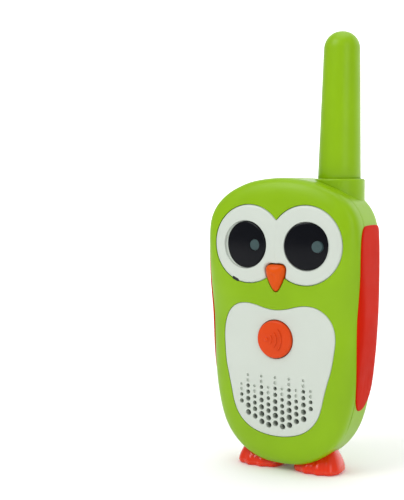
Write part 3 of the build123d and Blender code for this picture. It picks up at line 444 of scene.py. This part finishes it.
def front_rings(grow, first_y):
    """Rings of the front's surface from a starting depth to its crown."""
    rings = []
    for row in range(ROWS + 1):
        ring = []
        for column in range(COLUMNS):
            angle = 2 * math.pi * column / COLUMNS
            power = front_power(angle)
            depth = FRONT_DEPTH + grow
            start = ((FRONT_MID_Y - first_y) / depth) ** (power / 2)
            turn = math.asin(start) + (math.pi / 2 - math.asin(start)) * row / ROWS
            radius = (outline_radius(angle) + grow) * max(math.cos(turn), 0.0) ** (2 / power)
            y = FRONT_MID_Y - depth * math.sin(turn) ** (2 / power)
            ring.append(Vector((radius * math.cos(angle), y, BODY_MID_Z + radius * math.sin(angle))))
        rings.append(ring)
    return rings


def parting_lip(ring, shrink, y):
    """A ring moved inward to shape the edge at the parting line."""
    moved = []
    for point in ring:
        radial = Vector((point.x, 0, point.z - BODY_MID_Z))
        moved.append(Vector((point.x, y, point.z)) - radial.normalized() * shrink)
    return moved


def slot_loop(half_length, half_width):
    """Outline of the microphone's slot at the edge of the left eye's white."""
    tilt = math.radians(MIC_TILT)
    loop = []
    for sign in (1, -1):
        for step in range(9):
            turn = -math.pi / 2 + math.pi * step / 8
            along = sign * (half_length - half_width + half_width * math.cos(turn))
            across = sign * half_width * math.sin(turn)
            loop.append((MIC_X + along * math.cos(tilt) - across * math.sin(tilt),
                         MIC_Z + along * math.sin(tilt) + across * math.cos(tilt)))
    return loop


def microphone_slot():
    """Cutting tool for the microphone's slot."""
    return prism("mic_slot", slot_loop(MIC_HALF_LENGTH, MIC_HALF_WIDTH), MIC_SLOT_Y)


def sound_opening():
    """The round speaker opening, flattened where it would pass the belly plate's lower edge."""
    lower = [(x, z) for x, z in reversed(PLATE_OUTLINE) if z < SPEAKER_Z]
    edge_x, edge_z = zip(*lower)
    ring = circle(0, SPEAKER_Z, SPEAKER_OPENING_R)
    return [(x, max(z, float(np.interp(abs(x), edge_x, edge_z)) + PLATE_LEDGE)) for x, z in ring]


def make_front_shell():
    """Crowned front shell, hollow, with pockets for the face pieces."""
    rings = front_rings(0, PARTING_Y - LIP_FRONT)
    lips = [parting_lip(rings[0], shrink, PARTING_Y - ahead) for shrink, ahead in LIP]
    shell = skinned("front_shell_skin", lips + rings[:-1])

    hollow_rings = [[Vector((p.x, max(p.y, HOLLOW_Y), p.z)) for p in ring]
                    for ring in front_rings(-WALL, PARTING_Y)]
    keep = [ring for ring in hollow_rings if min(p.y for p in ring) > HOLLOW_Y + 0.01]
    start = parting_lip(keep[0], 0, PARTING_Y + 1)
    last = [Vector((p.x, HOLLOW_Y, p.z)) for p in hollow_rings[len(keep)]]
    hollow = skinned("hollow", [start] + keep + [last])

    tools = [
        hollow,
        prism("left_eye_pocket", circle(-EYE_X, EYE_Z, EYE_R + POCKET_GAP, 128), EYE_POCKET_Y),
        prism("right_eye_pocket", circle(EYE_X, EYE_Z, EYE_R + POCKET_GAP, 128), EYE_POCKET_Y),
        prism("plate_pocket", inset(PLATE_LOOP, -POCKET_GAP), PLATE_POCKET_Y),
        prism("sound", sound_opening(), INSIDE_Y),
        prism("talk_hole", circle(0, TALK_Z, TALK_R + BUTTON_GAP), INSIDE_Y),
        prism("beak_hole", inset(BEAK_LOOP, -BUTTON_GAP), BEAK_HOLE_Y),
        microphone_slot(),
    ]
    cut(shell, tools)
    dress(shell, "housing", "front_shell", GREEN)


make_front_shell()


# Painted shade: a black sheet just under the surface in the microphone's slot, to darken the slot.
SHADE_SHEET_GAP, SHADE_SHEET_SUNK, SHADE_SHEET_BACK_Y = 0.02, 0.35, -11.4


def make_painted_slot_shade():
    """Black sheet a little way down the microphone's slot: painted shade that stands for the slot's dark
    inside.
    """
    loop = slot_loop(MIC_HALF_LENGTH - SHADE_SHEET_GAP, MIC_HALF_WIDTH - SHADE_SHEET_GAP)
    shade_sheet = prism("painted_slot_shade", loop, SHADE_SHEET_BACK_Y, front_y(MIC_X, MIC_Z) + SHADE_SHEET_SUNK)
    dress(shade_sheet, "housing", None, BLACK)


make_painted_slot_shade()


# ---------------------------------------------------------------- eye mask
MASK_POINTS = 176
MASK_FAR = 34.0                       # past the white in every direction from its pupil
MASK_ROLL = 1.0                       # rounding of the whites' outer edge
MASK_PROUD = 0.12
MASK_BACK_Y = -13.0
GROOVE = [(-1.2, 1.4), (-0.1, 1.4), (0.28, 1.3), (0.32, 0.2), (0.45, 0.0)]    # (past the pupil's edge, drop)
BEAK_GAP_LOOP = inset(BEAK_LOOP, -BUTTON_GAP - 0.1)


def inside_loop(loop, x, z):
    """Whether a point lies inside a closed loop."""
    inside = False
    for (x1, z1), (x2, z2) in zip(loop, np.roll(loop, -1, axis=0)):
        if (z1 > z) != (z2 > z) and x < x1 + (z - z1) / (z2 - z1) * (x2 - x1):
            inside = not inside
    return inside


def mask_reach(turn):
    """Distance from the right pupil's middle to the edge of its white, and whether that is an outer edge."""
    low, high = PUPIL_R, MASK_FAR
    for _ in range(22):
        middle = (low + high) / 2
        x = PUPIL_X + middle * math.cos(turn)
        z = PUPIL_Z + middle * math.sin(turn)
        if math.hypot(x - EYE_X, z - EYE_Z) < EYE_R and x > 0 and not inside_loop(BEAK_GAP_LOOP, x, z):
            low = middle
        else:
            high = middle
    x = PUPIL_X + low * math.cos(turn)
    return low, x > 0.02


def mask_surface(x, z):
    """Surface of the white around the right eye: the body's crown with a low dome."""
    part = min(math.hypot(x - EYE_X, z - EYE_Z) / EYE_R, 1)
    return front_y(x, z) - EYE_DOME * (1 - part**2) - MASK_PROUD


def make_eye_mask():
    """Both eye whites, with a groove round each pupil and a soft valley between the eyes."""
    bm = bmesh.new()
    for side, _ in SIDES:
        columns = []
        for i in range(MASK_POINTS):
            turn = 2 * math.pi * (i + 0.5) / MASK_POINTS
            reach, rim = mask_reach(turn)
            samples = [(PUPIL_R + past, drop) for past, drop in GROOVE]
            start = samples[-1][0]
            roll = MASK_ROLL if rim else 0.0
            edge = reach - roll
            for step in range(1, 13):
                samples.append((start + (edge - start) * step / 12, 0.0))
            for step in range(1, 8):
                angle = math.pi / 2 * step / 7
                samples.append((edge + roll * math.sin(angle), roll * (1 - math.cos(angle))))
            samples += [(reach, 1.2), (reach, 2.4)]
            column = []
            for radius, drop in samples:
                x = PUPIL_X + radius * math.cos(turn)
                z = PUPIL_Z + radius * math.sin(turn)
                column.append(Vector((side * x, min(mask_surface(x, z) + drop, MASK_BACK_Y), z)))
            columns.append(column)
        skin_rings(bm, list(zip(*columns)))
    mask = from_bmesh("eye_mask_skin", bm, 50)
    cut(mask, [microphone_slot()])
    dress(mask, "housing", "eye_mask", WHITE)


make_eye_mask()


# ---------------------------------------------------------------- pupils and lamps
PUPIL_THICK, PUPIL_ROLL, PUPIL_CROWN = 3.4, 0.75, 0.45
LAMP_BASE_Y, LAMP_LENGTH, LAMP_DOME = -10.6, 7.0, 0.75
def make_pupil(side, word):
    """Glossy black domed disc, turned outward, with the eye's lamp set in it."""
    turn = math.radians(PUPIL_TURN) * side
    out = Vector((math.sin(turn), -math.cos(turn), 0))
    profile = [(0, -PUPIL_THICK), (PUPIL_R - 0.2, -PUPIL_THICK), (PUPIL_R, 0.2 - PUPIL_THICK),
               (PUPIL_R, -0.9)]
    for step in range(1, 8):
        angle = math.pi / 2 * step / 7
        profile.append((PUPIL_R - PUPIL_ROLL * (1 - math.cos(angle)), -0.9 + 0.55 * math.sin(angle)))
    for step in range(1, 10):
        part = 1 - step / 9
        profile.append(((PUPIL_R - PUPIL_ROLL) * part, -0.35 + PUPIL_CROWN * (1 - part**2)))
    disc = lathe(f"{word}_pupil_disc", profile, (side * PUPIL_X, PUPIL_FACE_Y, PUPIL_Z), out, 128)
    lamp_x = side * PUPIL_X + LAMP_SHIFT
    cut(disc, [prism("lamp_hole", circle(lamp_x, PUPIL_Z, LAMP_R + 0.07, 48), INSIDE_Y)])
    dress(disc, "housing", f"{word}_pupil", BLACK_GLOSS)

    lens = [(0, 0), (LAMP_R, 0), (LAMP_R, LAMP_LENGTH)]
    for step in range(1, 7):
        angle = math.pi / 2 * step / 6
        lens.append((LAMP_R * math.cos(angle), LAMP_LENGTH + LAMP_DOME * math.sin(angle)))
    lamp = lathe(f"{word}_lamp_lens", lens, (lamp_x, LAMP_BASE_Y, PUPIL_Z), FORWARD, 48)
    dress(lamp, "housing", None, LAMP)


for side, word in SIDES:
    make_pupil(side, word)


# ---------------------------------------------------------------- belly plate with its speaker holes
HOLE_PITCH = 3.165
FIRST_HOLE_R, HOLE_GROWTH, LAST_HOLE_R = 0.62, 0.11, 1.25
DIMPLE_DEPTH = 0.5                    # the first two holes of each column are only dimples
PLATE_PROUD, PLATE_ROLL, PLATE_DEPTH, PLATE_BACK_Y = 0.12, 0.6, 3.0, -13.8
TALL_ROWS = [39.9, 37.7, 35.4, 32.8, 30.0, 27.1, 24.2, 21.0]
ODD_ROWS = [35.6, 33.4, 31.1, 28.5, 25.9, 22.9, 20.0]
EDGE_ROWS = [35.8, 33.7, 31.4, 28.7]
HOLE_COLUMNS = [
    (0, TALL_ROWS), (1, ODD_ROWS), (2, TALL_ROWS), (3, ODD_ROWS[:6]), (4, TALL_ROWS[:7]), (5, EDGE_ROWS),
]


def make_belly_plate():
    """Crowned white plate with round speaker holes that grow downward and tiny dimples above them."""
    def place(x, z, h):
        return Vector((x, min(front_y(x, z) - h, PLATE_BACK_Y), z))

    plate = plateau("belly_plate_skin", PLATE_LOOP, place, PLATE_PROUD, PLATE_ROLL, PLATE_DEPTH, rings=26)
    tools = [prism("talk_hole", circle(0, TALK_Z, TALK_R + BUTTON_GAP, 96), INSIDE_Y)]
    holes = []
    for column, rows in HOLE_COLUMNS:
        for row, z in enumerate(rows):
            for x in sorted({column * HOLE_PITCH, -column * HOLE_PITCH}):
                radius = min(FIRST_HOLE_R + HOLE_GROWTH * row, LAST_HOLE_R)
                end_y = INSIDE_Y if row > 1 else front_y(x, z) + DIMPLE_DEPTH
                holes.append(prism("hole", circle(x, z, radius, 20), end_y))
    tools.append(join(holes, "holes"))
    cut(plate, tools)
    dress(plate, "housing", "belly_plate", WHITE)


make_belly_plate()


# ---------------------------------------------------------------- buttons
ICON_X, ICON_LIFT = -3.4, 0.16
ICON_RADII, ICON_SPREAD = (2.6, 4.7, 6.8), 38
ICON_HALF_WIDTH, ICON_HEIGHT = 0.42, 0.30
ICON_DOT = [(0, -0.3), (0.85, -0.3), (0.85, 0.15), (0.6, 0.3), (0, 0.33)]


def wave_icon(name):
    """Raised sound-wave mark: a dot and three arcs."""
    bm = bmesh.new()
    face = TALK_FACE_Y - ICON_LIFT
    spread = math.radians(ICON_SPREAD)
    for radius in ICON_RADII:
        rings = []
        for i in range(25):
            turn = -spread + 2 * spread * i / 24
            ring = []
            taper = 1 - 0.35 * abs(2 * i / 24 - 1) ** 3
            for k in range(10):
                around = 2 * math.pi * k / 10
                reach = radius + ICON_HALF_WIDTH * taper * math.cos(around)
                ring.append(Vector((ICON_X + reach * math.cos(turn), face - ICON_HEIGHT * math.sin(around),
                                    TALK_Z + reach * math.sin(turn))))
            rings.append(ring)
        skin_rings(bm, rings)
    icon = from_bmesh(name, bm)
    dot = lathe("icon_dot", ICON_DOT, (ICON_X + 0.2, face, TALK_Z), FORWARD, 24)
    return join([icon, dot], name)


TALK_BASE_Y, TALK_ROLL, TALK_DOME = -11.1, 1.0, 0.25
TALK_FLANGE_R, TALK_FLANGE = TALK_R + 1.1, 1.0


def make_talk_button():
    """Round talk button with a low dome, a rounded edge and a raised wave mark."""
    profile = [(0, 0), (TALK_FLANGE_R, 0), (TALK_FLANGE_R, TALK_FLANGE), (TALK_R, TALK_FLANGE)]
    brim = TALK_BASE_Y - TALK_FACE_Y - TALK_DOME
    for step in range(9):
        angle = math.pi / 2 * step / 8
        profile.append((TALK_R - TALK_ROLL * (1 - math.cos(angle)), brim - TALK_ROLL * (1 - math.sin(angle))))
    for step in range(1, 10):
        part = 1 - step / 9
        profile.append(((TALK_R - TALK_ROLL) * part, brim + TALK_DOME * (1 - part**2)))
    button = lathe("talk_button_cap", profile, (0, TALK_BASE_Y, TALK_Z), FORWARD, 128)
    button = join([button, wave_icon("talk_mark")], "talk_button_cap")
    dress(button, "talk_button", "talk_button", ORANGE)


make_talk_button()


BEAK_FLANGE, BEAK_FLANGE_Y = 1.2, (-9.3, -10.3)
BEAK_MID_Z, BEAK_TIP_Z, BEAK_HEIGHT = 82.2, 75.1, 10.9
BEAK_ROUND = 0.82                     # under 1 is fuller than a round swell
BEAK_TIP_DROP = 0.9                   # how much lower the beak is at its tip


def make_beak():
    """Rounded beak that swells forward to a soft ridge."""
    loop = even_loop(BEAK_OUTLINE, 10, 96)
    rings = [[Vector((x, y, z)) for x, z in inset(loop, -BEAK_FLANGE)] for y in BEAK_FLANGE_Y]
    rings.append([Vector((x, BEAK_FLANGE_Y[1], z)) for x, z in loop])
    for step in range(22):
        turn = math.pi / 2 * step / 22
        scale = math.cos(turn) ** BEAK_ROUND
        ring = []
        for x, z in loop:
            swell = (z - BEAK_TIP_Z) / BEAK_HEIGHT
            rise = (BEAK_BASE_Y - BEAK_FACE_Y - BEAK_TIP_DROP * (1 - swell)) * math.sin(turn) ** BEAK_ROUND
            ring.append(Vector((x * scale, BEAK_BASE_Y - rise, BEAK_MID_Z + (z - BEAK_MID_Z) * scale)))
        rings.append(ring)
    beak = skinned("beak_cap", rings, 60)
    dress(beak, "beak_button", "beak_button", BEAK)


make_beak()


# ---------------------------------------------------------------- side grips
def make_grip(side, word):
    """Soft side grip that wraps the body's edge."""
    def on_side(y, z):
        return Vector((side * side_x(y, z), y, z))

    def place(y, z, h):
        across = on_side(y + 0.25, z) - on_side(y - 0.25, z)
        up = on_side(y, z + 0.9) - on_side(y, z - 0.9)
        normal = across.cross(up).normalized()
        if normal.x * side < 0:
            normal.negate()
        return on_side(y, z) + normal * h

    loop = resample(smooth_loop(GRIP_OUTLINE, 10), 150)
    grip = plateau(f"{word}_grip_pad", loop, place, GRIP_PROUD, GRIP_ROLL, GRIP_DEPTH, rings=20, sharp=60)
    dress(grip, "housing", f"{word}_grip", GRIP)


for side, word in SIDES:
    make_grip(side, word)


# ---------------------------------------------------------------- feet
FOOT_X, FOOT_Y = 13.1, -1.4
FOOT_HALF_WIDTH, FOOT_HALF_LENGTH = 10.2, 9.8
FOOT_SPREAD = 0.12                    # the feet are wider at their toes
FOOT_POWER = 2.5                      # how square the foot's outline is
FOOT_LEVELS = [                       # (inset, height) from the middle of the sole upward
    (7.0, 0.0), (3.5, 0.0), (1.6, 0.0), (0.8, 0.15), (0.25, 0.65), (0, 1.4), (0.15, 2.5),
    (0.6, 3.9), (1.3, 5.5), (2.1, 7.1), (3.1, 8.8), (4.2, 10.3), (5.5, 11.4), (7.2, 12.0),
]
FOOT_POINTS = 160
FOOT_SLOPE = 0.02                     # how fast the front draws back with height
TOES, TOE_DEPTH = 4, 0.9


def make_foot(side, word):
    """Glossy rounded foot that slopes forward to four low toes."""
    rings = []
    for drop, height in FOOT_LEVELS:
        ring = []
        for i in range(FOOT_POINTS):
            turn = 2 * math.pi * i / FOOT_POINTS
            across = abs(math.cos(turn)) ** (2 / FOOT_POWER) * math.copysign(1, math.cos(turn))
            along = abs(math.sin(turn)) ** (2 / FOOT_POWER) * math.copysign(1, math.sin(turn))
            front = max(-math.sin(turn), 0) ** 1.5
            fade = 1 - height / FOOT_LEVELS[-1][1]
            toes = -TOE_DEPTH / 2 * math.cos(TOES * math.pi * (across + 1)) * fade
            x = FOOT_X + across * (FOOT_HALF_WIDTH - drop) * (1 - FOOT_SPREAD * along)
            y = FOOT_Y + along * (FOOT_HALF_LENGTH - drop) + front * (FOOT_SLOPE * height**2 - toes)
            ring.append(Vector((side * x, y, height)))
        rings.append(ring)
    foot = skinned(f"{word}_foot_shoe", rings, 60)
    dress(foot, "housing", f"{word}_foot", RED_GLOSS)


for side, word in SIDES:
    make_foot(side, word)


# ---------------------------------------------------------------- antenna
FLANGE_OUTER_R, FLANGE_INNER_R, FLANGE_BOTTOM, FLANGE_TOP = 9.0, 6.2, -3.1, -0.14
MOULD_LINE, MOULD_STEP = 2.6, 0.15    # height and depth of the line near the antenna's foot


def make_antenna():
    """Tapered round antenna with a domed tip, a moulding line near its foot and its flange."""
    lean = math.radians(ANTENNA_LEAN)
    axis = Vector((math.sin(lean), 0, math.cos(lean)))
    length = ANTENNA_TOP - ANTENNA_FOOT.z
    shoulder = length - ANTENNA_END_R
    waist = ANTENNA_ROOT_R - MOULD_STEP
    profile = [(FLANGE_INNER_R, FLANGE_BOTTOM), (FLANGE_OUTER_R, FLANGE_BOTTOM), (FLANGE_OUTER_R, FLANGE_TOP),
               (waist, FLANGE_TOP), (waist, MOULD_LINE - 0.3), (ANTENNA_ROOT_R, MOULD_LINE)]
    for step in range(1, 13):
        part = step / 12
        profile.append((ANTENNA_ROOT_R + (ANTENNA_END_R - ANTENNA_ROOT_R) * part,
                        MOULD_LINE + (shoulder - MOULD_LINE) * part))
    for step in range(1, 14):
        angle = math.pi / 2 * step / 14
        profile.append((ANTENNA_END_R * math.cos(angle) ** 0.92, shoulder + ANTENNA_END_R * math.sin(angle)))
    antenna = lathe("antenna_sleeve", profile, ANTENNA_FOOT, axis)
    dress(antenna, "housing", "antenna", GREEN)


make_antenna()


# ---------------------------------------------------------------- stage, lights and camera
# Lengths from here on are metres.
STAGE_PROFILE = [(-1.6, 0.0), (1.0, 0.0), (1.25, 0.03), (1.45, 0.12), (1.58, 0.28), (1.62, 0.5), (1.62, 2.4)]
STAGE_HALF_WIDTH = 3.0
FLOOR_GLOW, BACKDROP_GLOW = 0.05, 0.75
GLOW_START, GLOW_END = 0.05, 0.9      # the glow grows between these depths
LIGHTS = [                            # name, place, aim, size, power
    ("key", (-0.45, -0.85, 0.95), (0, 0, 0.08), (0.7, 0.7), 7),
    ("fill", (0.95, -0.65, 0.45), (0, 0, 0.08), (0.6, 0.9), 3),
    ("top", (0.05, 0.05, 1.2), (0, 0, 0.05), (0.9, 0.9), 5),
]
WORLD_STRENGTH = 0.45
CAMERA_PLACE = (0.2046, -0.4039, 0.122)
CAMERA_PITCH, CAMERA_HEADING = 86.05, 31.8
CAMERA_LENS, CAMERA_SENSOR = 78.12, 36


def make_stage():
    """Pale floor that curves up into a backdrop."""
    bm = bmesh.new()
    edges = (-STAGE_HALF_WIDTH, STAGE_HALF_WIDTH)
    rows = [[bm.verts.new((x, y, z)) for x in edges] for y, z in STAGE_PROFILE]
    for a, b in zip(rows, rows[1:]):
        bm.faces.new((a[0], a[1], b[1], b[0]))
    mesh = bpy.data.meshes.new("floor")
    bm.to_mesh(mesh)
    bm.free()
    floor = link("floor", mesh)
    smooth(floor.data, 60)
    material = bpy.data.materials.new("paper")
    material.use_nodes = True
    nodes, links = material.node_tree.nodes, material.node_tree.links
    shader = nodes["Principled BSDF"]
    settings(shader, {"Base Color": (0.93, 0.93, 0.93, 1), "Roughness": 0.9, "Emission Color": (1, 1, 1, 1)})
    place = nodes.new("ShaderNodeTexCoord")
    split = nodes.new("ShaderNodeSeparateXYZ")
    glow = nodes.new("ShaderNodeMapRange")
    settings(glow, {"From Min": GLOW_START, "From Max": GLOW_END,
                    "To Min": FLOOR_GLOW, "To Max": BACKDROP_GLOW})
    links.new(place.outputs["Object"], split.inputs["Vector"])
    links.new(split.outputs["Y"], glow.inputs["Value"])
    links.new(glow.outputs["Result"], shader.inputs["Emission Strength"])
    floor.data.materials.append(material)


def area_light(name, place, target, size, power):
    """Soft rectangular light aimed at a point."""
    light = bpy.data.lights.new(name, "AREA")
    light.shape = "RECTANGLE"
    light.size, light.size_y = size
    light.energy = power
    lamp = bpy.data.objects.new(name, light)
    lamp.location = place
    lamp.rotation_euler = (Vector(target) - Vector(place)).to_track_quat("-Z", "Y").to_euler()
    scene.collection.objects.link(lamp)


make_stage()
for light in LIGHTS:
    area_light(*light)

world = bpy.data.worlds.new("studio")
world.use_nodes = True
settings(world.node_tree.nodes["Background"], {"Color": (1, 1, 1, 1), "Strength": WORLD_STRENGTH})
scene.world = world
scene.view_settings.view_transform = "Standard"

camera_data = bpy.data.cameras.new("camera")
camera_data.lens = CAMERA_LENS
camera_data.sensor_width = CAMERA_SENSOR
camera = bpy.data.objects.new("camera", camera_data)
camera.location = CAMERA_PLACE
camera.rotation_euler = (math.radians(CAMERA_PITCH), 0, math.radians(CAMERA_HEADING))
scene.collection.objects.link(camera)
scene.camera = camera
